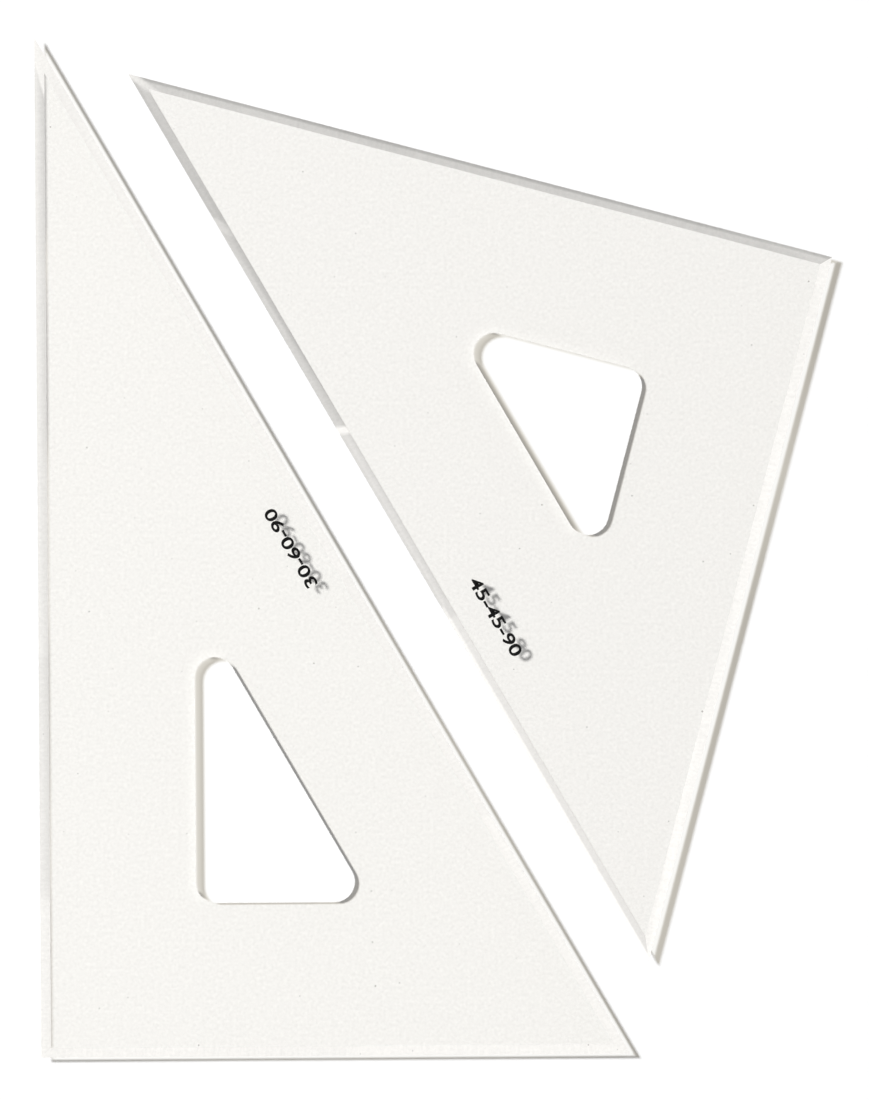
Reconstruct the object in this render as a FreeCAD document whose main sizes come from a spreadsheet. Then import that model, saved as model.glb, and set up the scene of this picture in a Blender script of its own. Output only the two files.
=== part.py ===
import FreeCAD, Part
import os
import Sketcher

# A matched pair of drawing-office set squares, a 30/60 and a 45, each one piece of clear acrylic sheet.
# They lie flat, upper face up, with their slopes parallel and a gap between them. All three sides of
# each are undercut: a bevel on the underside leaves a thin rim that stands clear of the paper, so that
# ink can't run under it. A triangular cut-out with rounded corners lets the fingers pick the square up.
# Millimetres, +Z up, +Y along the 30/60's longer leg. The origin is on the paper, under the middle of
# the rectangle that encloses both.

SIZES = {
    "sheet_thickness": (3.0, "acrylic sheet, face to face"),
    "rim_height": (0.3, "upright rim between the undercut and the upper face"),
    "bevel_width": (2.8, "reach of the undercut, inwards from each side"),
    "long_edge_30_60": (300.0, "30/60: longer leg"),
    "apex_angle_30_60": (30.0, "30/60: angle between its longer leg and its slope"),
    "long_edge_45": (302.5, "45: slope, its longest side"),
    "apex_angle_45": (45.0, "45: angle between a leg and the slope"),
    "cutout_edge_30_60": (88.7, "30/60's cut-out: longer leg, before its corners are rounded"),
    "cutout_edge_45": (84.0, "45's cut-out: slope, before its corners are rounded"),
    "cutout_corner_radius": (6.0, "corner radius of both cut-outs"),
    "cutout_shift_x_30_60": (1.05, "30/60's cut-out: off centre, away from the longer leg"),
    "cutout_shift_y_30_60": (0.5, "30/60's cut-out: off centre, away from the shorter leg"),
    "cutout_shift_x_45": (-0.9, "45's cut-out: off centre, away from the right-hand leg"),
    "cutout_shift_y_45": (1.15, "45's cut-out: off centre, away from the upper leg"),
    "guide_angle": (59.6, "how steeply both slopes fall towards +X"),
    "guide_gap": (18.4, "clear distance between the two slopes"),
    "guide_offset": (23.2, "how far down the slope the 45's upper corner starts"),
}

TOLERANCE = 1e-6

# Corners that every sketch is first drawn with, right angle first. Its constraints then move them.
DRAWN_CORNERS = ((10, 10), (60, 10), (10, 90))


class RightTriangle:
    """A right triangle as expressions. Its legs run from the right angle along +X and +Y."""

    def __init__(self, leg_y, apex_angle):
        self.leg_y = f"({leg_y})"
        self.leg_x = f"({leg_y} * tan({apex_angle}))"
        self.slope = f"({leg_y} / cos({apex_angle}))"
        self.inradius = f"(({self.leg_x} + {self.leg_y} - {self.slope}) / 2)"


class Point:
    """A point in plan, as a pair of expressions."""

    def __init__(self, x="0", y="0"):
        self.x, self.y = x, y

    def moved(self, distance, angle):
        """The point at this distance from here, in the direction that lies angle from +X."""
        return Point(f"({self.x} + {distance} * cos({angle}))", f"({self.y} + {distance} * sin({angle}))")


def fill_sheet(doc):
    """The sheet of driving sizes: each row holds a name, the value under that alias, and its meaning."""
    sheet = doc.addObject("Spreadsheet::Sheet", "sizes")
    for row, (alias, (value, meaning)) in enumerate(SIZES.items(), start=1):
        sheet.set(f"A{row}", alias)
        sheet.set(f"B{row}", str(value))
        sheet.set(f"C{row}", meaning)
        sheet.setAlias(f"B{row}", alias)
    doc.recompute()


def triangle_sketch(body, name, triangle, corner):
    """A right triangle on the body's XY plane, with its right angle at corner."""
    sketch = body.newObject("Sketcher::SketchObject", name)
    plane = next(f for f in body.Origin.OriginFeatures if f.Role == "XY_Plane")
    sketch.AttachmentSupport = (plane, "")
    sketch.MapMode = "FlatFace"
    right_angle, foot, apex = (FreeCAD.Vector(x, y, 0) for x, y in DRAWN_CORNERS)
    base = sketch.addGeometry(Part.LineSegment(right_angle, foot), False)
    slope = sketch.addGeometry(Part.LineSegment(foot, apex), False)
    upright = sketch.addGeometry(Part.LineSegment(apex, right_angle), False)
    start, end, origin = 1, 2, -1
    for one, other in ((base, slope), (slope, upright), (upright, base)):
        sketch.addConstraint(Sketcher.Constraint("Coincident", one, end, other, start))
    sketch.addConstraint(Sketcher.Constraint("Horizontal", base))
    sketch.addConstraint(Sketcher.Constraint("Vertical", upright))
    driven = (
        ("leg_x", ("DistanceX", base, start, base, end), foot.x - right_angle.x, triangle.leg_x),
        ("leg_y", ("DistanceY", upright, end, upright, start), apex.y - right_angle.y, triangle.leg_y),
        ("corner_x", ("DistanceX", origin, start, base, start), right_angle.x, corner.x),
        ("corner_y", ("DistanceY", origin, start, base, start), right_angle.y, corner.y),
    )
    for label, measured, drawn, expression in driven:
        index = sketch.addConstraint(Sketcher.Constraint(*measured, drawn))
        sketch.renameConstraint(index, label)
        sketch.setExpression(f"Constraints.{label}", expression)
    return sketch


def edges_where(shape, test):
    """Names of the edges whose bounding box passes the test."""
    return [f"Edge{i}" for i, edge in enumerate(shape.Edges, start=1) if test(edge.BoundBox)]


def set_square(doc, label, outline, cutout, shift_x, shift_y):
    """One set square: sheet, undercut sides and finger cut-out, with its right angle at the origin."""
    body = doc.addObject("PartDesign::Body", label)
    body.Label = label

    sheet = body.newObject("PartDesign::Pad", f"{label}_sheet")
    sheet.Profile = triangle_sketch(body, f"{label}_outline", outline, Point())
    sheet.setExpression("Length", "sizes.sheet_thickness")
    doc.recompute()

    undercut = body.newObject("PartDesign::Chamfer", f"{label}_undercut")
    undercut.Base = (sheet, edges_where(sheet.Shape, lambda box: box.ZMax < TOLERANCE))
    undercut.ChamferType = "Two distances"
    undercut.setExpression("Size", "sizes.sheet_thickness - sizes.rim_height")
    undercut.setExpression("Size2", "sizes.bevel_width")

    corner = Point(
        f"({outline.inradius} + {shift_x} - {cutout.inradius})",
        f"({outline.inradius} + {shift_y} - {cutout.inradius})",
    )
    opening = body.newObject("PartDesign::Pocket", f"{label}_opening")
    opening.Profile = triangle_sketch(body, f"{label}_cutout", cutout, corner)
    opening.Type = "ThroughAll"
    opening.Reversed = True
    doc.recompute()

    thickness = opening.Shape.BoundBox.ZLength
    rounding = body.newObject("PartDesign::Fillet", f"{label}_rounding")
    full_height = edges_where(
        opening.Shape,
        lambda box: box.ZLength > thickness - TOLERANCE and max(box.XLength, box.YLength) < TOLERANCE,
    )
    rounding.Base = (opening, full_height)
    rounding.setExpression("Radius", "sizes.cutout_corner_radius")
    doc.recompute()
    return body


def place(body, right_angle, turn, middle):
    """Stands the body's right angle at a point of the plan, with the plan's middle at the origin."""
    body.setExpression("Placement.Base.x", f"{right_angle.x} - {middle.x}")
    body.setExpression("Placement.Base.y", f"{right_angle.y} - {middle.y}")
    body.setExpression("Placement.Rotation.Angle", turn)


def lay_out(square_30_60, outline_30_60, square_45, outline_45):
    """Turns both squares until their slopes lie at the guide angle, facing each other over the gap."""
    fall = "-sizes.guide_angle"
    turn_30_60 = "(90 - sizes.apex_angle_30_60 - sizes.guide_angle)"
    turn_45 = "(270 - sizes.apex_angle_45 - sizes.guide_angle)"

    right_angle = Point()
    foot = right_angle.moved(outline_30_60.leg_x, turn_30_60)
    apex = right_angle.moved(outline_30_60.leg_y, f"(90 + {turn_30_60})")
    upper_corner = apex.moved("sizes.guide_offset", fall).moved("sizes.guide_gap", f"(90 + {fall})")
    right_angle_45 = upper_corner.moved(outline_45.leg_x, f"(180 + {turn_45})")
    lower_corner = right_angle_45.moved(outline_45.leg_y, f"(90 + {turn_45})")

    corners = (right_angle, foot, apex, upper_corner, right_angle_45, lower_corner)
    xs = "; ".join(corner.x for corner in corners)
    ys = "; ".join(corner.y for corner in corners)
    middle = Point(f"(min({xs}) + max({xs})) / 2", f"(min({ys}) + max({ys})) / 2")
    place(square_30_60, right_angle, turn_30_60, middle)
    place(square_45, right_angle_45, turn_45, middle)


def check(doc, bodies):
    """Stops on a failed feature, a cut that takes nothing away or a body that isn't one valid solid."""
    for thing in doc.Objects:
        if "Invalid" in thing.State or "Error" in thing.State:
            raise RuntimeError(f"{thing.Label}: {thing.State}")
        if thing.TypeId in ("PartDesign::Chamfer", "PartDesign::Pocket"):
            if thing.Shape.Volume >= thing.BaseFeature.Shape.Volume:
                raise RuntimeError(f"{thing.Label} cuts nothing")
    for body in bodies:
        if body.Shape.isNull() or not body.Shape.isValid() or len(body.Shape.Solids) != 1:
            raise RuntimeError(f"{body.Label}: not one valid solid")


def main():
    doc = FreeCAD.newDocument("set_squares")
    fill_sheet(doc)

    outline_30_60 = RightTriangle("sizes.long_edge_30_60", "sizes.apex_angle_30_60")
    cutout_30_60 = RightTriangle("sizes.cutout_edge_30_60", "sizes.apex_angle_30_60")
    square_30_60 = set_square(
        doc,
        "set_square_30_60",
        outline_30_60,
        cutout_30_60,
        "sizes.cutout_shift_x_30_60",
        "sizes.cutout_shift_y_30_60",
    )

    cosine_45 = "cos(sizes.apex_angle_45)"
    outline_45 = RightTriangle(f"(sizes.long_edge_45 * {cosine_45})", "sizes.apex_angle_45")
    cutout_45 = RightTriangle(f"(sizes.cutout_edge_45 * {cosine_45})", "sizes.apex_angle_45")
    square_45 = set_square(
        doc,
        "set_square_45",
        outline_45,
        cutout_45,
        "sizes.cutout_shift_x_45",
        "sizes.cutout_shift_y_45",
    )

    lay_out(square_30_60, outline_30_60, square_45, outline_45)
    doc.recompute()
    bodies = (square_30_60, square_45)
    check(doc, bodies)

    os.makedirs("parts", exist_ok=True)
    for body in bodies:
        body.Shape.exportStep(f"parts/{body.Label}.step")
        box = body.Shape.BoundBox
        print(
            f"{body.Label}: {box.XMin:.2f}..{box.XMax:.2f} x {box.YMin:.2f}..{box.YMax:.2f}"
            f" x {box.ZMin:.2f}..{box.ZMax:.2f}, {body.Shape.Volume:.0f} mm3"
        )


main()
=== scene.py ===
"""Two clear acrylic set squares, a 30/60 and a 45, dressed for a studio view from straight above."""

import math

import bpy
import numpy as np
from bpy.props import FloatProperty, FloatVectorProperty, PointerProperty, StringProperty
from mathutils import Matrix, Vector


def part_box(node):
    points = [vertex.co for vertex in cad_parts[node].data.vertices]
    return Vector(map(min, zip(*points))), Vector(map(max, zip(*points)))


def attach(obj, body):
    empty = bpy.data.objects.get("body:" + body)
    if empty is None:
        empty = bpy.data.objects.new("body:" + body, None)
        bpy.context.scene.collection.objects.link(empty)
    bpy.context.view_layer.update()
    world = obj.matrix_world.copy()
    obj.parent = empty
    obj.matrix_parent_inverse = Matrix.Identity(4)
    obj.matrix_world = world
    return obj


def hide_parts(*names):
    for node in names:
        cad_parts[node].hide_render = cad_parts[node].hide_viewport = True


bl_info = {
    "name": "Clear Set Squares",
    "version": (1, 0, 0),
    "blender": (4, 5, 0),
    "location": "3D View > Sidebar > Set Squares",
    "description": "Builds a pair of clear acrylic set squares with printed angles on a white table",
    "category": "Add Mesh",
}

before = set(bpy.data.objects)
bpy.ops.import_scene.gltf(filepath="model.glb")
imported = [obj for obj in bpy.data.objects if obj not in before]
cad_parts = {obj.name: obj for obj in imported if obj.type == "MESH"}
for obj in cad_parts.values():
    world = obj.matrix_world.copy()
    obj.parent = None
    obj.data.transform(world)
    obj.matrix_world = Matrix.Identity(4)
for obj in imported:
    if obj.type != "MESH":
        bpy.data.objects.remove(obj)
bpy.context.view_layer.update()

MM = 0.001
SQUARES = ("set_square_30_60", "set_square_45")

# How finely the surfaces are divided.
ARC_STEPS = 10  # points round each corner of an outline
SIDE_STEPS = 240  # stretches along each side of an outline
ARRIS_STEPS = 4  # points across each rounded arris
WALL_STEPS = 18  # stretches up each wall and each undercut
FACE_RING = 4.0  # width of the flat rings of each face along the outline and the cut-out, in undercuts
COUNTS_AS_SIDE = 0.5  # normals that lie flatter than this belong to a side or a wall, not to a face

# How the CAD meshes are read.
SAME_POINT = 0.01 * MM  # points nearer to each other than this are one
MESH_DECIMALS = 8  # vertices that meet agree to so many decimals of a metre
HULL_WAYS = 720  # directions in which a corner may reach furthest

# How the undercut sides look from above, and what they cast. Sides go anticlockwise from the right
# angle, and each has stops along it. A stop holds its place, from the side's first corner (0) to its
# last (1), and then:
#   the share of the key light that goes on past the side, where that is darkest;
#   the share of the side's look that is painted glow, standing in for light piped through the sheet,
#   the rest being true reflection;
#   how bright that painted glow is by the side's ridge, in its middle and by its rim.
SIDE_SHADE_AND_GLOW_STOPS = {
    "set_square_30_60": (
        (  # shorter leg
            (0.0, 0.12, 0.85, 0.98, 1.0, 0.995),
            (0.5, 0.20, 0.85, 0.99, 1.01, 1.0),
            (1.0, 0.12, 0.85, 0.985, 1.0, 0.995),
        ),
        (  # slope
            (0.0, 0.20, 0.85, 0.965, 0.975, 0.97),
            (0.3, 0.32, 0.85, 0.985, 1.01, 1.005),
            (0.5, 0.14, 0.85, 0.97, 0.98, 0.98),
            (1.0, 0.16, 0.85, 0.955, 0.96, 0.965),
        ),
        (  # longer leg
            (0.0, 0.60, 0.8, 0.97, 0.99, 1.0),
            (0.022, 0.60, 0.8, 0.97, 0.99, 1.0),
            (0.028, 0.02, 0.7, 0.54, 0.76, 0.85),
            (0.17, 0.05, 0.7, 0.60, 0.79, 0.87),
            (0.21, 0.50, 0.7, 0.66, 0.81, 0.88),
            (0.26, 0.12, 0.7, 0.63, 0.81, 0.88),
            (0.37, 0.08, 0.7, 0.62, 0.82, 0.88),
            (0.42, 0.60, 0.7, 0.72, 0.83, 0.89),
            (0.56, 0.60, 0.7, 0.73, 0.84, 0.90),
            (0.60, 0.25, 0.7, 0.70, 0.86, 0.90),
            (0.61, 0.25, 0.7, 0.74, 0.90, 0.93),
            (0.72, 0.30, 0.7, 0.76, 0.92, 0.94),
            (0.76, 0.55, 0.7, 0.78, 0.92, 0.95),
            (0.83, 0.55, 0.7, 0.80, 0.92, 0.95),
            (0.85, 0.38, 0.7, 0.92, 0.96, 0.98),
        ),
    ),
    "set_square_45": (
        (  # upper leg
            (0.0, 0.35, 0.85, 0.61, 0.635, 0.42),
            (0.5, 0.35, 0.85, 0.62, 0.615, 0.38),
            (0.98, 0.35, 0.85, 0.66, 0.66, 0.44),
            (0.99, 0.35, 0.85, 0.86, 0.90, 0.90),
        ),
        (  # slope
            (0.0, 0.20, 0.75, 0.80, 0.92, 0.94),
            (0.009, 0.20, 0.65, 0.55, 0.69, 0.66),
            (0.158, 0.20, 0.65, 0.55, 0.69, 0.66),
            (0.163, 0.20, 0.65, 0.70, 0.90, 0.86),
            (0.175, 0.20, 0.65, 0.70, 0.90, 0.86),
            (0.18, 0.20, 0.65, 0.60, 0.77, 0.74),
            (0.28, 0.20, 0.65, 0.60, 0.77, 0.74),
            (0.30, 0.20, 0.65, 0.58, 0.71, 0.74),
            (0.396, 0.24, 0.65, 0.58, 0.71, 0.74),
            (0.3995, 0.60, 0.90, 1.06, 1.06, 1.06),
            (0.4045, 0.60, 0.90, 1.06, 1.06, 1.06),
            (0.408, 0.26, 0.65, 0.66, 0.84, 0.78),
            (0.60, 0.30, 0.65, 0.66, 0.84, 0.78),
            (0.605, 0.35, 0.65, 0.72, 0.77, 1.06),
            (1.0, 0.35, 0.65, 0.71, 0.75, 1.18),
        ),
        (  # right-hand leg
            (0.1, 0.42, 0.85, 1.04, 1.06, 1.07),
            (0.3, 0.36, 0.85, 1.05, 1.07, 1.07),
            (0.5, 0.34, 0.85, 1.05, 1.06, 1.07),
            (0.7, 0.46, 0.85, 1.06, 1.08, 1.08),
            (0.9, 0.33, 0.85, 1.04, 1.05, 1.05),
        ),
    ),
}
MIDDLE_HEIGHT, RIM_HEIGHT = 0.6, 0.8  # shares of an undercut's height at its stops' last two values
WALL_GLOW_TONE, WALL_GLOW_SHARE = 0.75, 0.85  # painted glow in a cut-out's wall, standing in for piped light: how bright, and its share
# colour of the painted glow that stands in for piped light
PAINTED_GLOW_COLOUR = (1.0, 0.985, 0.955)

# What becomes of the key light. How far a side or a wall faces away from it runs from 0, along it, to
# 1, straight away, and heights are shares of the sheet's thickness. Pairs are stops for ramp().
FACES_AWAY = ((0, 0), (0.3, 1))  # how fully a side counts as facing away, or else as facing the light
LEAST_AWAY = 1e-3  # so that the shadow of a side along the light still has a width
BRIGHT_BY_RIM = (0.35 * MM, 0.23)  # light bent under a rim lands so far out, and a share of the shadow more
TURNS_DARK = 0.1  # share of the shadow over which that light fades
WALL_FACES_AWAY = ((0.12, 0), (0.4, 1))  # how fully a wall counts as facing away,
WALL_SQUARE_ON = ((0.57, 0), (0.69, 1))  # as facing straight away,
WALL_FACES_LIGHT = ((0.28, 0), (0.56, 1))  # or else as facing the light
# Share that passes such a wall, by height: one that faces away at a slant, and straight away.
SLANTED_WALL = ((0, 0.18), (0.25, 0.23), (0.4, 0.33), (0.55, 0.49), (0.7, 0.68), (1, 1))
STRAIGHT_WALL = ((0, 0.85), (0.2, 0.6), (0.37, 0.56), (0.62, 0.42), (0.78, 0.4), (0.84, 1))
FOOT_OF_LIT_WALL = ((0.6, 0.02), (1, 0.084))  # share at the foot, by how squarely it faces the light
ABOVE_LIT_FOOT = ((0.36, 0), (0.43, 1))  # and how much of the rest passes, by height
STRIP_GAIN = 0.13  # light that such a wall, facing away, adds on the paper beside it

# The finish. A noise's range is the part of it that is stretched over the whole effect.
CLOUDS_PER_METRE, CLOUD_RANGE = 1000.0, (0.35, 0.65)
CLOUD_TINT = (0.955, 1.045)  # what the clouds make of the sheet's tint, at their darkest and lightest
MARKS_PER_METRE = (1100.0, 120.0, 1.0)  # marks of milling: close together along a side, long across it
MARK_RANGE, MARK_GLOW = (0.3, 0.7), (0.967, 1.033)  # what the marks make of the painted glow that stands in for piped light
MARK_DEPTH, MARK_STRENGTH = 0.02 * MM, 0.08
SPECK_SPACING, SPECK_RADII, SPECK_STRENGTH = 16 * MM, (0.10 * MM, 0.30 * MM), 0.5
DUST_COLOUR, DUST_ROUGHNESS = (0.16, 0.14, 0.12, 1.0), 0.9
FACES_UP = 0.9  # normals that rise more than this belong to the upper face, which gathers the dust
INK_PER_METRE, INK_TINT = 2500.0, (0.6, 1.8)  # unevenness of the ink, and what it makes of the colour
INK_ROUGHNESS, INK_IOR = 0.5, 1.15
LETTER_WEIGHT, LETTER_DEPTH = 0.022, 0.1  # swelling of the strokes, and depth, where a line is 1 high
CLEAR_OF_FACE = 0.004 * MM  # between the ink and the upper face, so that the two never share a plane

# The stage.
WHITE = (1.0, 1.0, 1.0, 1.0)
TABLE_HALF, TABLE_COLOUR = 30.0, (0.8, 0.8, 0.8, 1.0)
TABLE_DEPTH = 0.05 * MM  # below the squares' undersides, so that the two never share a plane
FADE_REACH = 0.15  # the table's lift changes up to this far each way from the middle
SENSOR = 36.0  # width of the camera's sensor, in millimetres as lenses are
CLIP = (0.01, 100.0)  # nearest and furthest that the camera sees
BOUNCES = 64  # light piped along a sheet turns this often before it would be cut off, which shows black


# ---------------------------------------------------------------------------------------------- sizes


class AcrylicSettings(bpy.types.PropertyGroup):
    """How the sheet is finished."""

    arris: FloatProperty(
        name="Arris",
        description="Radius of the long edges, which are broken after the undercut is milled",
        default=0.1 * MM,
        unit="LENGTH",
    )
    nose: FloatProperty(
        name="Corner",
        description="Radius of the outer corners in plan",
        default=0.05 * MM,
        unit="LENGTH",
    )
    tint_30_60: FloatVectorProperty(
        name="30/60 Tint",
        description="Colour of the 30/60's sheet, looked through",
        default=(0.940, 0.933, 0.922),
        subtype="COLOR",
        min=0.0,
        max=1.0,
    )
    tint_45: FloatVectorProperty(
        name="45 Tint",
        description="Colour of the 45's sheet, looked through",
        default=(0.930, 0.922, 0.914),
        subtype="COLOR",
        min=0.0,
        max=1.0,
    )
    lamp_tint: FloatVectorProperty(
        name="Light Tint",
        description="Colour of light that has gone down through the sheet",
        default=(0.930, 0.922, 0.890),
        subtype="COLOR",
        min=0.0,
        max=1.0,
    )
    shade_tint: FloatVectorProperty(
        name="Shade Tint",
        description="Colour of the little light that the sides let through where they are dark",
        default=(1.0, 0.87, 0.60),
        subtype="COLOR",
        min=0.0,
        max=1.0,
    )
    refraction: FloatProperty(
        name="Refractive Index",
        description="Refractive index of acrylic",
        default=1.49,
    )


class PrintSettings(bpy.types.PropertyGroup):
    """The angles printed beside each slope."""

    text_30_60: StringProperty(name="30/60", description="Print on the 30/60", default="30-60-90")
    text_45: StringProperty(name="45", description="Print on the 45", default="45-45-90")
    height: FloatProperty(
        name="Height",
        description="Height of a figure",
        default=3.8 * MM,
        unit="LENGTH",
    )
    length: FloatProperty(
        name="Length",
        description="Length of each print along its slope",
        default=26.0 * MM,
        unit="LENGTH",
    )
    inset_30_60: FloatProperty(
        name="30/60 Inset",
        description="From the 30/60's slope to the middle of its print",
        default=11.0 * MM,
        unit="LENGTH",
    )
    inset_45: FloatProperty(
        name="45 Inset",
        description="From the 45's slope to the middle of its print",
        default=12.4 * MM,
        unit="LENGTH",
    )
    place_30_60: FloatProperty(
        name="30/60 Place",
        description="Where along the 30/60's slope its print is, from the right-hand foot",
        default=0.516,
        subtype="FACTOR",
    )
    place_45: FloatProperty(
        name="45 Place",
        description="Where along the 45's slope its print is, from the upper corner",
        default=0.636,
        subtype="FACTOR",
    )
    coat: FloatProperty(
        name="Ink Thickness",
        description="Thickness of the ink, which stands on the upper face",
        default=0.02 * MM,
        unit="LENGTH",
    )
    ink: FloatVectorProperty(
        name="Ink",
        description="Colour of the print",
        default=(0.006, 0.006, 0.006),
        subtype="COLOR",
        min=0.0,
        max=1.0,
    )


class StudioSettings(bpy.types.PropertyGroup):
    """Table, lamps and camera."""

    heading: FloatProperty(
        name="Light Heading",
        description="Direction in plan in which the key light travels, from +X",
        default=math.radians(-25.5),
        subtype="ANGLE",
    )
    height: FloatProperty(
        name="Light Height",
        description="Height of the key light above the table",
        default=math.radians(40.6),
        subtype="ANGLE",
    )
    spread: FloatProperty(
        name="Light Spread",
        description="Angle that the key light fills, which softens its shadows",
        default=math.radians(10.5),
        subtype="ANGLE",
    )
    key: FloatProperty(name="Key", description="Share of the table's light from the key", default=0.99)
    fill: FloatProperty(name="Fill", description="Share of the table's light from all round", default=0.11)
    lift: FloatProperty(
        name="Lift",
        description="How much whiter the table is shown than it lights",
        default=0.16,
    )
    fade: FloatProperty(
        name="Fade",
        description="How fast that falls off along +X, per metre",
        default=0.2,
    )
    distance: FloatProperty(
        name="Camera Distance",
        description="From the camera to the upper faces",
        default=3.0,
        unit="LENGTH",
    )
    view_height: FloatProperty(
        name="View Height",
        description="Height of the picture, measured on the upper faces",
        default=323.4 * MM,
        unit="LENGTH",
    )
    view_centre: FloatVectorProperty(
        name="View Centre",
        description="Point of the plan at the middle of the picture",
        default=(0.38 * MM, -0.72 * MM),
        size=2,
        unit="LENGTH",
    )


# ------------------------------------------------------------------------------------- plan geometry


def cross(a, b):
    """z of the cross product of plan vectors."""
    return a[..., 0] * b[..., 1] - a[..., 1] * b[..., 0]


def unit(vectors):
    """Vectors along the last axis, each divided by its length."""
    return vectors / np.linalg.norm(vectors, axis=-1, keepdims=True)


def hull_corners(points):
    """The corners of a triangle among its points, anticlockwise: those that reach furthest some way."""
    ways = np.linspace(0, 2 * math.pi, HULL_WAYS, endpoint=False)
    reach = points @ np.stack([np.cos(ways), np.sin(ways)])
    furthest = reach.argmax(axis=0)
    order = furthest[np.flatnonzero(furthest != np.roll(furthest, 1))]
    return points[order]


def corner_angles(corners):
    """Inner angle at each corner."""
    onward = unit(np.roll(corners, -1, axis=0) - corners)
    back = unit(np.roll(corners, 1, axis=0) - corners)
    return np.arccos((onward * back).sum(axis=1))


def from_right_angle(corners):
    """The same corners, still anticlockwise, with the right angle first."""
    return np.roll(corners, -int(corner_angles(corners).argmax()), axis=0)


def measure(node):
    """Sizes of a set square, read from its CAD node.

    The outline's corners reach furthest in plan. The other points of the upper face go round the
    cut-out: its three longest stretches are its sides, which meet in its sharp corners, and the
    distance from such a corner to the end of a side is radius / tan(half the corner's angle).
    """
    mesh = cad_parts[node].data
    points = np.empty(len(mesh.vertices) * 3)
    mesh.vertices.foreach_get("co", points)
    points = points.reshape(-1, 3).round(MESH_DECIMALS)
    top = points[:, 2].max()
    upper = np.unique(points[points[:, 2] > top - SAME_POINT][:, :2], axis=0)
    lower = np.unique(points[points[:, 2] < SAME_POINT][:, :2], axis=0)
    outline = from_right_angle(hull_corners(upper))
    ridge = from_right_angle(hull_corners(lower))
    below_corner = np.linalg.norm(points[:, :2] - outline[0], axis=1) < SAME_POINT
    side = unit(outline[1] - outline[0])

    around = upper[np.linalg.norm(upper[:, None] - outline, axis=2).min(axis=1) > SAME_POINT]
    spokes = around - around.mean(axis=0)
    around = around[np.argsort(np.arctan2(spokes[:, 1], spokes[:, 0]))]
    stretch = np.roll(around, -1, axis=0) - around
    longest = np.sort(np.argsort(np.linalg.norm(stretch, axis=1))[-3:])
    start, way = around[longest], unit(stretch[longest])
    before, before_way = np.roll(start, 1, axis=0), np.roll(way, 1, axis=0)
    along = cross(start - before, way) / cross(before_way, way)
    sharp = before + before_way * along[:, None]
    half = corner_angles(sharp) / 2
    radius = (np.linalg.norm(start - sharp, axis=1) * np.tan(half)).mean()
    return {
        "outline": outline,
        "cutout": from_right_angle(sharp),
        "cutout_radius": float(radius),
        "thickness": float(top),
        "rim_bottom": float(points[below_corner][:, 2].min()),
        "bevel": float(cross(side, ridge[0] - outline[0])),
    }


def rounded_loop(corners, inset, radius):
    """A triangle's loop, moved inwards by inset and rounded: points and outward normals, each (n, 2).

    An arc's centre lies on the corner's bisector, (inset + radius) / sin(half its angle) from the
    corner, and the arc turns from one side's normal to the next. Sides are straight between arcs.
    """
    onward = unit(np.roll(corners, -1, axis=0) - corners)
    back = unit(np.roll(corners, 1, axis=0) - corners)
    half = corner_angles(corners) / 2
    centre = corners + unit(onward + back) * ((inset + radius) / np.sin(half))[:, None]
    first = np.arctan2(back[:, 0], -back[:, 1])[:, None]
    turn = (math.pi - 2 * half)[:, None] * np.linspace(0, 1, ARC_STEPS)
    normal = np.stack([np.cos(first + turn), np.sin(first + turn)], axis=-1)
    arc = centre[:, None] + radius * normal
    share = np.linspace(0, 1, SIDE_STEPS + 1)[1:-1, None]
    side = arc[:, -1:] + (np.roll(arc[:, :1], -1, axis=0) - arc[:, -1:]) * share
    side_normal = np.repeat(normal[:, -1:], SIDE_STEPS - 1, axis=1)
    points = np.concatenate([arc, side], axis=1)
    normals = np.concatenate([normal, side_normal], axis=1)
    return points.reshape(-1, 2), normals.reshape(-1, 2)


def rounded_section(corners, radius):
    """A section through (offset, z) corners, all but its ends rounded: points and outward normals.

    An arc's centre lies radius / sin(half the angle) in from its corner. The normal turns evenly
    across it. Flat stretches between arcs are divided evenly, and those to the ends aren't divided.
    """
    corners = np.array(corners, float)
    back = unit(corners[:-2] - corners[1:-1])
    onward = unit(corners[2:] - corners[1:-1])
    half = np.arccos((back * onward).sum(axis=1)) / 2
    centre = corners[1:-1] + unit(back + onward) * (radius / np.sin(half))[:, None]
    reach = (radius / np.tan(half))[:, None]
    first = unit(corners[1:-1] + back * reach - centre)
    last = unit(corners[1:-1] + onward * reach - centre)
    share = np.linspace(0, 1, ARRIS_STEPS)[:, None]
    normal = unit(first[:, None] * (1 - share) + last[:, None] * share)
    arc = centre[:, None] + radius * normal
    points, normals = [corners[:1]], [normal[0, :1]]
    for i in range(len(arc)):
        points.append(arc[i])
        normals.append(normal[i])
        if i + 1 < len(arc):
            along = np.linspace(0, 1, WALL_STEPS + 1)[1:-1, None]
            points.append(arc[i, -1] + (arc[i + 1, 0] - arc[i, -1]) * along)
            normals.append(np.repeat(normal[i, -1:], WALL_STEPS - 1, axis=0))
    points.append(corners[-1:])
    normals.append(normal[-1, -1:])
    return np.concatenate(points), np.concatenate(normals)


def ramp(place, *stops):
    """Share at a place, straight between (place, share) stops and level beyond them."""
    places, shares = zip(*stops)
    return np.interp(place, places, shares)


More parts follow.
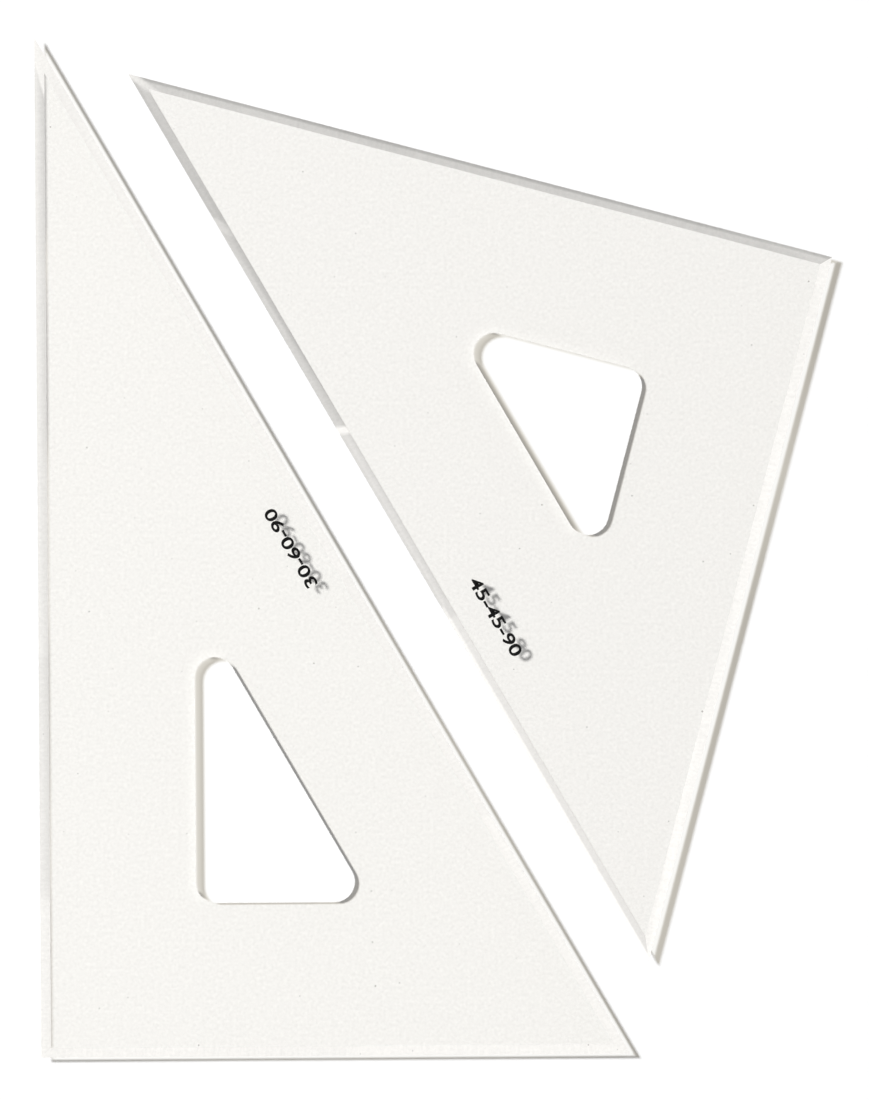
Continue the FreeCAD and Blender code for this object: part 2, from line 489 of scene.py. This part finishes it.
def outer_side_pass(away, offset, height, reach, passed):
    """Share of the key light that goes on past points of the rim and the undercut.

    away is how far each point faces away from the light, from -1 to 1, and reach is how far the
    upper face's shadow falls where away is 1. A lamp ray past a point lands at height * reach * away
    beyond it. On a side that faces away, the light bends under the rim: near the rim it is bright,
    and further out only the share passed goes on. A side that faces the light is dark along its
    ridge.
    """
    shadow = reach * np.maximum(away, LEAST_AWAY)
    landing = height * shadow - offset
    width, share_of_shadow = BRIGHT_BY_RIM
    dark = np.clip((landing - width - share_of_shadow * shadow) / (TURNS_DARK * shadow), 0, 1)
    return 1 - (ramp(away, *FACES_AWAY) * dark + ramp(-away, *FACES_AWAY)) * (1 - passed)


def wall_pass(away, height):
    """Share of the key light that goes on past points of a cut-out's wall.

    A wall that faces the light is dark at its foot. One that faces away is darkest low down, and
    one that faces straight away is bright at its foot and darkens upwards instead. One that the
    light runs along is clear.
    """
    straight, slanted = ramp(height, *STRAIGHT_WALL), ramp(height, *SLANTED_WALL)
    leeward = slanted + (straight - slanted) * ramp(away, *WALL_SQUARE_ON)
    foot = ramp(-away, *FOOT_OF_LIT_WALL)
    windward = foot + (1 - foot) * ramp(height, *ABOVE_LIT_FOOT)
    faces_away, faces_light = ramp(away, *WALL_FACES_AWAY), ramp(-away, *WALL_FACES_LIGHT)
    return 1 - faces_away * (1 - leeward) - faces_light * (1 - windward)


def loop_places():
    """For each point of a rounded loop, its side and how far along that side it is, from 0 to 1.

    The first half of a corner's arc ends the side before it, and the other half starts the next.
    """
    before = np.arange(ARC_STEPS) < ARC_STEPS / 2
    share = np.linspace(0, 1, SIDE_STEPS + 1)[1:-1]
    along = np.tile(np.concatenate([before.astype(float), share]), 3)
    side = np.concatenate([np.concatenate([i - before, np.full(SIDE_STEPS - 1, i)]) for i in range(3)]) % 3
    return side, along


def side_values(stops):
    """What the stops hold after their place, at each point of a rounded loop: an array (5, n).

    Between two stops each value runs straight.
    """
    side, along = loop_places()
    values = np.empty((5, len(side)))
    for i, side_stops in enumerate(stops):
        here = side == i
        places, *columns = np.array(side_stops).T
        values[:, here] = [np.interp(along[here], places, column) for column in columns]
    return values


def painted_piped_glow(ridge, middle, rim, height):
    """Painted glow, standing in for piped light, at points of an undercut: straight between its ridge, middle
    and rim.
    """
    to_middle = min(height / MIDDLE_HEIGHT, 1)
    to_rim = min(max((height - MIDDLE_HEIGHT) / (RIM_HEIGHT - MIDDLE_HEIGHT), 0), 1)
    return ridge + (middle - ridge) * to_middle + (rim - middle) * to_rim


def outer_ring(sizes, offset, z, nose, light, reach, stops):
    """A ring round the outline, moved in by offset, at height z.

    Gives its points and outward normals in plan, the share of the key light that passes its points
    if they are on a side and if they are on a face, and how bright the painted glow, which stands in
    for piped light, is and its share.
    """
    passed, painted_glow, *glow_tones = stops
    plan, out = rounded_loop(sizes["outline"], offset, nose)
    by_side = outer_side_pass(out @ light, offset, z / sizes["thickness"], reach, passed)
    return plan, out, by_side, np.ones(len(plan)), painted_piped_glow(*glow_tones, z / sizes["rim_bottom"]), painted_glow


def wall_ring(sizes, offset, z, light):
    """A ring round the cut-out, moved out by offset, at height z. Gives the same as outer_ring().

    On the underside, a strip as wide as the sheet is thick lets more light down beside the wall.
    """
    top = sizes["thickness"]
    plan, out = rounded_loop(sizes["cutout"], -offset, sizes["cutout_radius"] + offset)
    away = out @ -light
    by_face = 1 + STRIP_GAIN * ramp(away, *FACES_AWAY) * (z < top / 2) * (1 - offset / top)
    return plan, out, wall_pass(away, z / top), by_face, np.full(len(plan), WALL_GLOW_TONE), WALL_GLOW_SHARE


def square_surface(node, sizes, acrylic, studio):
    """A set square as one closed surface: its points, normals, two colours and distances round it.

    u goes round the square, corner for corner with its cut-out. v goes round the section: out over
    the upper face, down the rim, down and in along the undercut, in along the underside and up the
    cut-out's wall. The section's offset goes into the sheet: an outer ring is the outline moved in
    by it, and a ring of the wall is the cut-out moved out by it. The first colour tints the key
    light on its way down. The second is the painted glow that stands in for piped light, with its
    share as alpha.
    """
    top, rim, bevel = sizes["thickness"], sizes["rim_bottom"], sizes["bevel"]
    far = FACE_RING * bevel
    reach = top / math.tan(studio.height)
    light = np.array([math.cos(studio.heading), math.sin(studio.heading)])
    shade_tint = np.array(acrylic.shade_tint)
    stops = side_values(SIDE_SHADE_AND_GLOW_STOPS[node])
    points, normals, lamp, painted_glow, around = [], [], [], [], []
    outer = rounded_section([(far, top), (0, top), (0, rim), (bevel, 0), (far, 0)], acrylic.arris)
    inner = rounded_section([(top, 0), (0, 0), (0, top), (far, top)], acrylic.arris)
    for section, facing in ((outer, 1), (inner, -1)):
        reference = None
        for (offset, z), (into_sheet, upward) in zip(*section):
            if facing > 0:
                ring = outer_ring(sizes, offset, z, acrylic.nose, light, reach, stops)
            else:
                ring = wall_ring(sizes, offset, z, light)
            plan, out, by_side, by_face, glow, glow_share = ring
            reference = plan if reference is None else reference
            around.append(distance_round(plan, out, reference))
            is_side = abs(into_sheet) > COUNTS_AS_SIDE
            share = (by_side if is_side else by_face)[:, None]
            points.append(np.column_stack([plan, np.full(len(plan), z)]))
            normals.append(np.column_stack([-facing * into_sheet * out, np.full(len(plan), upward)]))
            lamp.append((shade_tint + (1 - shade_tint) * np.minimum(share, 1)) * share)
            # painted glow, standing in for piped light, shows on the sides only
            alpha = is_side * glow_share * np.ones(len(plan))
            painted_glow.append(np.column_stack([np.outer(glow, PAINTED_GLOW_COLOUR), alpha]))
    return [np.array(rings) for rings in (points, normals, lamp, painted_glow, around)]


def distance_round(loop, out, reference):
    """How far round the reference loop the points of a loop are, ending with the first again.

    A point counts from the reference's own point, along the side that both are on.
    """
    stretch = np.linalg.norm(np.roll(reference, -1, axis=0) - reference, axis=1)
    ahead = cross(out, loop - reference)
    return np.append(0, np.cumsum(stretch)) + np.append(ahead, ahead[0])


def grid_uv(points, around):
    """UVs of a closed grid's face corners, in metres: u round the square, v across the section."""
    closed = np.concatenate([points, points[:1]])
    across = np.linalg.norm(np.diff(closed, axis=0), axis=2).mean(axis=1)
    v = np.concatenate([[0], np.cumsum(across)])
    row, column = np.meshgrid(np.arange(len(across)), np.arange(points.shape[1]), indexing="ij")
    next_row = (row + 1) % len(across)
    ends = ((row, column), (next_row, column), (next_row, column + 1), (row, column + 1))
    us = np.stack([around[end] for end in ends], axis=-1)
    vs = np.stack([v[row], v[row + 1], v[row + 1], v[row]], axis=-1)
    return np.stack([us, vs], axis=-1).reshape(-1, 2)


def closed_grid(rows, columns):
    """Faces of a rows x columns grid of points that closes on itself both ways."""
    row, column = np.meshgrid(np.arange(rows), np.arange(columns), indexing="ij")
    next_row, next_column = (row + 1) % rows, (column + 1) % columns
    corners = (
        row * columns + column,
        next_row * columns + column,
        next_row * columns + next_column,
        row * columns + next_column,
    )
    return np.stack(corners, axis=-1).reshape(-1, 4)


def new_object(name, points, faces, normals=None):
    """An object at the origin with a mesh of these faces."""
    mesh = bpy.data.meshes.new(name)
    mesh.from_pydata(points.tolist(), [], [list(face) for face in faces])
    mesh.update()
    if normals is not None:
        mesh.shade_smooth()
        mesh.normals_split_custom_set_from_vertices(normals.tolist())
    made = bpy.data.objects.new(name, mesh)
    bpy.context.scene.collection.objects.link(made)
    return made


def letters(text, length, height, thickness):
    """Flat letters as closed slabs, centred on the origin: points and faces, with z from 0 up.

    The words are set as a text curve, filled, and made a mesh. Then they are stretched to length,
    their tallest letter to height, and their depth to thickness.
    """
    curve = bpy.data.curves.new("letters", "FONT")
    curve.body = text
    curve.extrude = LETTER_DEPTH
    curve.offset = LETTER_WEIGHT
    setter = bpy.data.objects.new("letters", curve)
    bpy.context.scene.collection.objects.link(setter)
    shaped = bpy.data.meshes.new_from_object(setter)
    bpy.data.objects.remove(setter)
    points = np.empty(len(shaped.vertices) * 3)
    shaped.vertices.foreach_get("co", points)
    points = points.reshape(-1, 3)
    faces = [list(polygon.vertices) for polygon in shaped.polygons]
    low, high = points.min(axis=0), points.max(axis=0)
    points = (points - [*(low + high)[:2] / 2, low[2]]) / (high - low) * [length, height, thickness]
    bpy.data.meshes.remove(shaped)
    bpy.data.curves.remove(curve)
    return points, faces


# ------------------------------------------------------------------------------------------ materials


class NodeTree:
    """Short hand for adding shader nodes and joining them."""

    def __init__(self, tree):
        self.tree = tree
        tree.nodes.clear()

    def add(self, kind, settings=None, **inputs):
        """A node with these settings, whose inputs each take another node's output or a value.

        An input goes by its name, with _ for a space, or by its number after an i, such as i0.
        """
        node = self.tree.nodes.new(kind)
        for name, value in (settings or {}).items():
            setattr(node, name, value)
        for name, value in inputs.items():
            socket = node.inputs[int(name[1:])] if name[1:].isdigit() else node.inputs[name.replace("_", " ")]
            if isinstance(value, bpy.types.NodeSocket):
                self.tree.links.new(value, socket)
            else:
                socket.default_value = value
        return node

    def math(self, operation, a, b=0.0):
        """The result of a Math node."""
        return self.add("ShaderNodeMath", {"operation": operation}, i0=a, i1=b).outputs[0]

    def remap(self, value, old, new):
        """The value carried from the old range to the new one, and held at its ends."""
        return self.add("ShaderNodeMapRange", i0=value, i1=old[0], i2=old[1], i3=new[0], i4=new[1]).outputs[0]

    def mix(self, share, first, second):
        """The first shader, and the second one by its share."""
        return self.add("ShaderNodeMixShader", i0=share, i1=first, i2=second).outputs[0]

    def mix_colours(self, share, first, second, blend_type="MIX"):
        """The first colour, and the second one by its share."""
        settings = {"data_type": "RGBA", "blend_type": blend_type}
        return self.add("ShaderNodeMix", settings, i0=share, i6=first, i7=second).outputs[2]

    def is_any_ray(self, *kinds):
        """1 for a ray of one of these kinds, such as Camera, and 0 for others."""
        path = self.add("ShaderNodeLightPath")
        share, *others = (path.outputs[f"Is {kind} Ray"] for kind in kinds)
        for other in others:
            share = self.math("MAXIMUM", share, other)
        return share


def scaled(colour, level):
    """The colour made darker or brighter by a factor, with an alpha of 1."""
    return (*(channel * level for channel in colour), 1.0)


def new_material(name):
    """A material and its empty node tree."""
    material = bpy.data.materials.new(name)
    material.use_nodes = True
    return material, NodeTree(material.node_tree)


def scattered(nodes, place, spacing, smallest, largest):
    """Mask of small round specks, one in each cell of a plan, each with a size and strength of its own."""
    cells = nodes.add(
        "ShaderNodeTexVoronoi",
        {"feature": "F1", "voronoi_dimensions": "2D"},
        Vector=place,
        Scale=1 / spacing,
    )
    chance = nodes.add("ShaderNodeSeparateColor", i0=cells.outputs["Color"])
    radius = nodes.remap(chance.outputs[0], (0.0, 1.0), (smallest / spacing, largest / spacing))
    inner = nodes.math("MULTIPLY", radius, 0.5)
    speck = nodes.remap(cells.outputs["Distance"], (inner, radius), (1.0, 0.0))
    strength = nodes.math("POWER", chance.outputs[1], 2.0)
    return nodes.math("MULTIPLY", speck, strength)


def cloudy_glass(nodes, place, tint, refraction, marks):
    """Clear glass whose tint is finely clouded, with marks of milling where marks isn't 0."""
    cloud = nodes.add("ShaderNodeTexNoise", Vector=place, Scale=CLOUDS_PER_METRE, Detail=2.0, Roughness=0.7)
    clouded = nodes.remap(cloud.outputs["Fac"], CLOUD_RANGE, (0.0, 1.0))
    darker, lighter = (scaled(tint, level) for level in CLOUD_TINT)
    scored = nodes.add("ShaderNodeBump", Strength=MARK_STRENGTH, Distance=MARK_DEPTH, Height=marks)
    glass = nodes.add(
        "ShaderNodeBsdfPrincipled",
        Base_Color=nodes.mix_colours(clouded, darker, lighter),
        Roughness=0.0,
        IOR=refraction,
        Transmission_Weight=1.0,
        Normal=scored.outputs[0],
    )
    return glass.outputs[0]


def dusted(nodes, place, normal, clean):
    """A shader with dust on what faces up."""
    upward = nodes.add("ShaderNodeSeparateXYZ", i0=normal).outputs["Z"]
    on_top = nodes.math("GREATER_THAN", upward, FACES_UP)
    specks = nodes.math("MULTIPLY", scattered(nodes, place, SPECK_SPACING, *SPECK_RADII), SPECK_STRENGTH)
    dust = nodes.add("ShaderNodeBsdfPrincipled", Base_Color=DUST_COLOUR, Roughness=DUST_ROUGHNESS)
    return nodes.mix(nodes.math("MULTIPLY", specks, on_top), clean, dust.outputs[0])


def tinted_pane(nodes, lamp_tint):
    """A pane that light passes straight through, tinted. The lamp's is weakened by lamp_pass too.

    Light goes through two faces of the sheet, so each takes the square root of the tint.
    """
    share = nodes.add("ShaderNodeAttribute", {"attribute_name": "lamp_pass"})
    tint = (*(math.sqrt(channel) for channel in lamp_tint), 1.0)
    colour = nodes.mix_colours(nodes.is_any_ray("Shadow"), tint, share.outputs["Color"], "MULTIPLY")
    return nodes.add("ShaderNodeBsdfTransparent", Color=colour).outputs[0]


def acrylic_material(name, tint, settings):
    """Clear acrylic: glass to the eye, a tinted pane to lamps and to light from the table.

    Seen from inside, a side shows a painted glow, emission that stands in for light piped through the
    sheet, with the marks of its milling, and a share of true reflections. The upper face carries a
    little dust.
    """
    material, nodes = new_material(name)
    place = nodes.add("ShaderNodeTexCoord").outputs["Object"]
    geometry = nodes.add("ShaderNodeNewGeometry")
    around = nodes.add("ShaderNodeUVMap", {"uv_map": "around"}).outputs[0]
    marks_at = nodes.add("ShaderNodeVectorMath", {"operation": "MULTIPLY"}, i0=around, i1=MARKS_PER_METRE)
    marks = nodes.add("ShaderNodeTexNoise", Vector=marks_at.outputs[0], Scale=1.0, Detail=2.0).outputs["Fac"]
    painted_glow = nodes.add("ShaderNodeAttribute", {"attribute_name": "painted_piped_glow"})

    on_sides = nodes.math("MULTIPLY", marks, painted_glow.outputs["Alpha"])
    glass = cloudy_glass(nodes, place, tint, settings.refraction, on_sides)
    strength = nodes.remap(marks, MARK_RANGE, MARK_GLOW)
    # painted glow: emission that stands in for light piped through the sheet, seen from inside
    glow = nodes.add("ShaderNodeEmission", Color=painted_glow.outputs["Color"], Strength=strength)
    inside = nodes.math("MULTIPLY", painted_glow.outputs["Alpha"], geometry.outputs["Backfacing"])
    clean = nodes.mix(inside, glass, glow.outputs[0])

    looked_at = dusted(nodes, place, geometry.outputs["Normal"], clean)
    straight = nodes.is_any_ray("Shadow", "Diffuse")
    surface = nodes.mix(straight, looked_at, tinted_pane(nodes, settings.lamp_tint))
    nodes.add("ShaderNodeOutputMaterial", Surface=surface)
    return material


def ink_material(colour):
    """Screen-printed black ink, a little uneven."""
    material, nodes = new_material("black_ink")
    place = nodes.add("ShaderNodeTexCoord").outputs["Object"]
    uneven = nodes.add("ShaderNodeTexNoise", Vector=place, Scale=INK_PER_METRE, Detail=2.0).outputs["Fac"]
    coat = nodes.mix_colours(uneven, *(scaled(colour, level) for level in INK_TINT))
    ink = nodes.add("ShaderNodeBsdfPrincipled", Base_Color=coat, Roughness=INK_ROUGHNESS, IOR=INK_IOR)
    nodes.add("ShaderNodeOutputMaterial", Surface=ink.outputs[0])
    return material


def table_material(lift, fade):
    """White table that is shown whiter than it lights: eyes see it lifted, lamps and shadows don't.

    The lift falls off along +X, so that what is seen through the sheet is a little darker there: painted
    shade.
    """
    material, nodes = new_material("white_table")
    material.cycles.emission_sampling = "NONE"
    place = nodes.add("ShaderNodeTexCoord").outputs["Object"]
    along = nodes.add("ShaderNodeSeparateXYZ", i0=place).outputs["X"]
    drop = fade * FADE_REACH
    seen = nodes.remap(along, (-FADE_REACH, FADE_REACH), (lift + drop, lift - drop))
    looked_at = nodes.is_any_ray("Camera", "Glossy", "Transmission")
    lifted = nodes.add("ShaderNodeEmission", Strength=nodes.math("MULTIPLY", looked_at, seen))
    paper = nodes.add("ShaderNodeBsdfDiffuse", Color=TABLE_COLOUR)
    both = nodes.add("ShaderNodeAddShader", i0=paper.outputs[0], i1=lifted.outputs[0])
    nodes.add("ShaderNodeOutputMaterial", Surface=both.outputs[0])
    return material


def studio_world(fill):
    """White all round to the eye, while it lights things only by fill."""
    world = bpy.data.worlds.new("studio")
    world.use_nodes = True
    nodes = NodeTree(world.node_tree)
    looked_at = nodes.is_any_ray("Camera", "Glossy", "Transmission")
    level = nodes.add("ShaderNodeMix", {"data_type": "FLOAT"}, i0=looked_at, i2=fill, i3=1.0)
    light = nodes.add("ShaderNodeBackground", Color=WHITE, Strength=level.outputs[0])
    nodes.add("ShaderNodeOutputWorld", Surface=light.outputs[0])
    world.cycles.sampling_method = "NONE"
    return world


# ------------------------------------------------------------------------------------------ operators


class SETSQUARES_OT_acrylic(bpy.types.Operator):
    """Build both set squares as one closed surface each, and stand them in for their CAD nodes"""

    bl_idname = "setsquares.acrylic"
    bl_label = "Set Squares"

    def execute(self, context):
        settings = context.scene.acrylic_settings
        studio = context.scene.studio_settings
        for node, tint in zip(SQUARES, (settings.tint_30_60, settings.tint_45)):
            sizes = measure(node)
            points, normals, lamp, painted_glow, around = square_surface(node, sizes, settings, studio)
            faces = closed_grid(*points.shape[:2])
            square = new_object(f"{node}_acrylic", points.reshape(-1, 3), faces, normals.reshape(-1, 3))
            layer = square.data.uv_layers.new(name="around")
            layer.data.foreach_set("uv", grid_uv(points, around).ravel().astype(np.float32))
            colours = np.concatenate([lamp, np.ones(lamp.shape[:2] + (1,))], axis=2)
            # lamp_pass tints the key light; the other attribute is the painted glow that stands in for piped
            # light
            for name, values in (("lamp_pass", colours), ("painted_piped_glow", painted_glow)):
                attribute = square.data.attributes.new(name, "FLOAT_COLOR", "POINT")
                attribute.data.foreach_set("color", values.ravel().astype(np.float32))
            square.data.materials.append(acrylic_material(f"{node}_clear", tint, settings))
            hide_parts(node)
            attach(square, node)
        return {"FINISHED"}


class SETSQUARES_OT_print(bpy.types.Operator):
    """Print each square's angles on its upper face, beside its slope"""

    bl_idname = "setsquares.print"
    bl_label = "Printed Angles"

    def execute(self, context):
        settings = context.scene.print_settings
        ink = ink_material(settings.ink)
        prints = (
            (SQUARES[0], settings.text_30_60, settings.inset_30_60, settings.place_30_60),
            (SQUARES[1], settings.text_45, settings.inset_45, settings.place_45),
        )
        for node, text, inset, place in prints:
            sizes = measure(node)
            start, end = sizes["outline"][1], sizes["outline"][2]
            along = unit(end - start)
            inwards = np.array([-along[1], along[0]])
            points, faces = letters(text, settings.length, settings.height, settings.coat)
            middle = start + (end - start) * place + inwards * inset
            plan = middle + points[:, :1] * along + points[:, 1:2] * inwards
            z = sizes["thickness"] + CLEAR_OF_FACE + points[:, 2]
            printed = new_object(f"{node}_print", np.column_stack([plan, z]), faces)
            printed.data.materials.append(ink)
            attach(printed, node)
        return {"FINISHED"}


class SETSQUARES_OT_stage(bpy.types.Operator):
    """Set up the white table, the light and the camera"""

    bl_idname = "setsquares.stage"
    bl_label = "Table, Light and Camera"

    def execute(self, context):
        settings = context.scene.studio_settings
        corners = np.array([(-1, -1, 0), (1, -1, 0), (1, 1, 0), (-1, 1, 0)]) * TABLE_HALF
        table = new_object("table", corners - [0, 0, TABLE_DEPTH], [(0, 1, 2, 3)])
        table.data.materials.append(table_material(settings.lift, settings.fade))

        lamp = bpy.data.lights.new("key", "SUN")
        lamp.energy = settings.key * math.pi / math.sin(settings.height)
        lamp.angle = settings.spread
        key = bpy.data.objects.new("key", lamp)
        key.rotation_euler = (0.0, math.pi / 2 - settings.height, settings.heading + math.pi)
        key.visible_glossy = False
        key.visible_transmission = False
        context.scene.collection.objects.link(key)

        context.scene.world = studio_world(settings.fill)

        lens = bpy.data.cameras.new("camera")
        lens.sensor_width = SENSOR
        lens.lens = lens.sensor_width * settings.distance / settings.view_height
        lens.clip_start, lens.clip_end = CLIP
        camera = bpy.data.objects.new("camera", lens)
        thickness = max(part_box(node)[1].z for node in SQUARES)
        camera.location = (*settings.view_centre, thickness + settings.distance)
        context.scene.collection.objects.link(camera)
        context.scene.camera = camera
        context.scene.view_settings.view_transform = "Standard"
        context.scene.cycles.max_bounces = BOUNCES
        context.scene.cycles.glossy_bounces = BOUNCES
        context.scene.cycles.transmission_bounces = BOUNCES
        return {"FINISHED"}


class SETSQUARES_PT_panel(bpy.types.Panel):
    """Sizes, colours and the steps that build the set squares"""

    bl_idname = "SETSQUARES_PT_panel"
    bl_label = "Clear Set Squares"
    bl_space_type = "VIEW_3D"
    bl_region_type = "UI"
    bl_category = "Set Squares"

    def draw(self, context):
        steps = (
            (SETSQUARES_OT_acrylic, context.scene.acrylic_settings),
            (SETSQUARES_OT_print, context.scene.print_settings),
            (SETSQUARES_OT_stage, context.scene.studio_settings),
        )
        for step, settings in steps:
            box = self.layout.box()
            for name in settings.bl_rna.properties.keys():
                if name not in {"rna_type", "name"}:
                    box.prop(settings, name)
            box.operator(step.bl_idname)


CLASSES = (
    AcrylicSettings,
    PrintSettings,
    StudioSettings,
    SETSQUARES_OT_acrylic,
    SETSQUARES_OT_print,
    SETSQUARES_OT_stage,
    SETSQUARES_PT_panel,
)


def register():
    for cls in CLASSES:
        bpy.utils.register_class(cls)
    bpy.types.Scene.acrylic_settings = PointerProperty(type=AcrylicSettings)
    bpy.types.Scene.print_settings = PointerProperty(type=PrintSettings)
    bpy.types.Scene.studio_settings = PointerProperty(type=StudioSettings)


def unregister():
    del bpy.types.Scene.studio_settings
    del bpy.types.Scene.print_settings
    del bpy.types.Scene.acrylic_settings
    for cls in reversed(CLASSES):
        bpy.utils.unregister_class(cls)


def main():
    register()
    bpy.ops.setsquares.acrylic()
    bpy.ops.setsquares.print()
    bpy.ops.setsquares.stage()


if __name__ == "__main__":
    main()
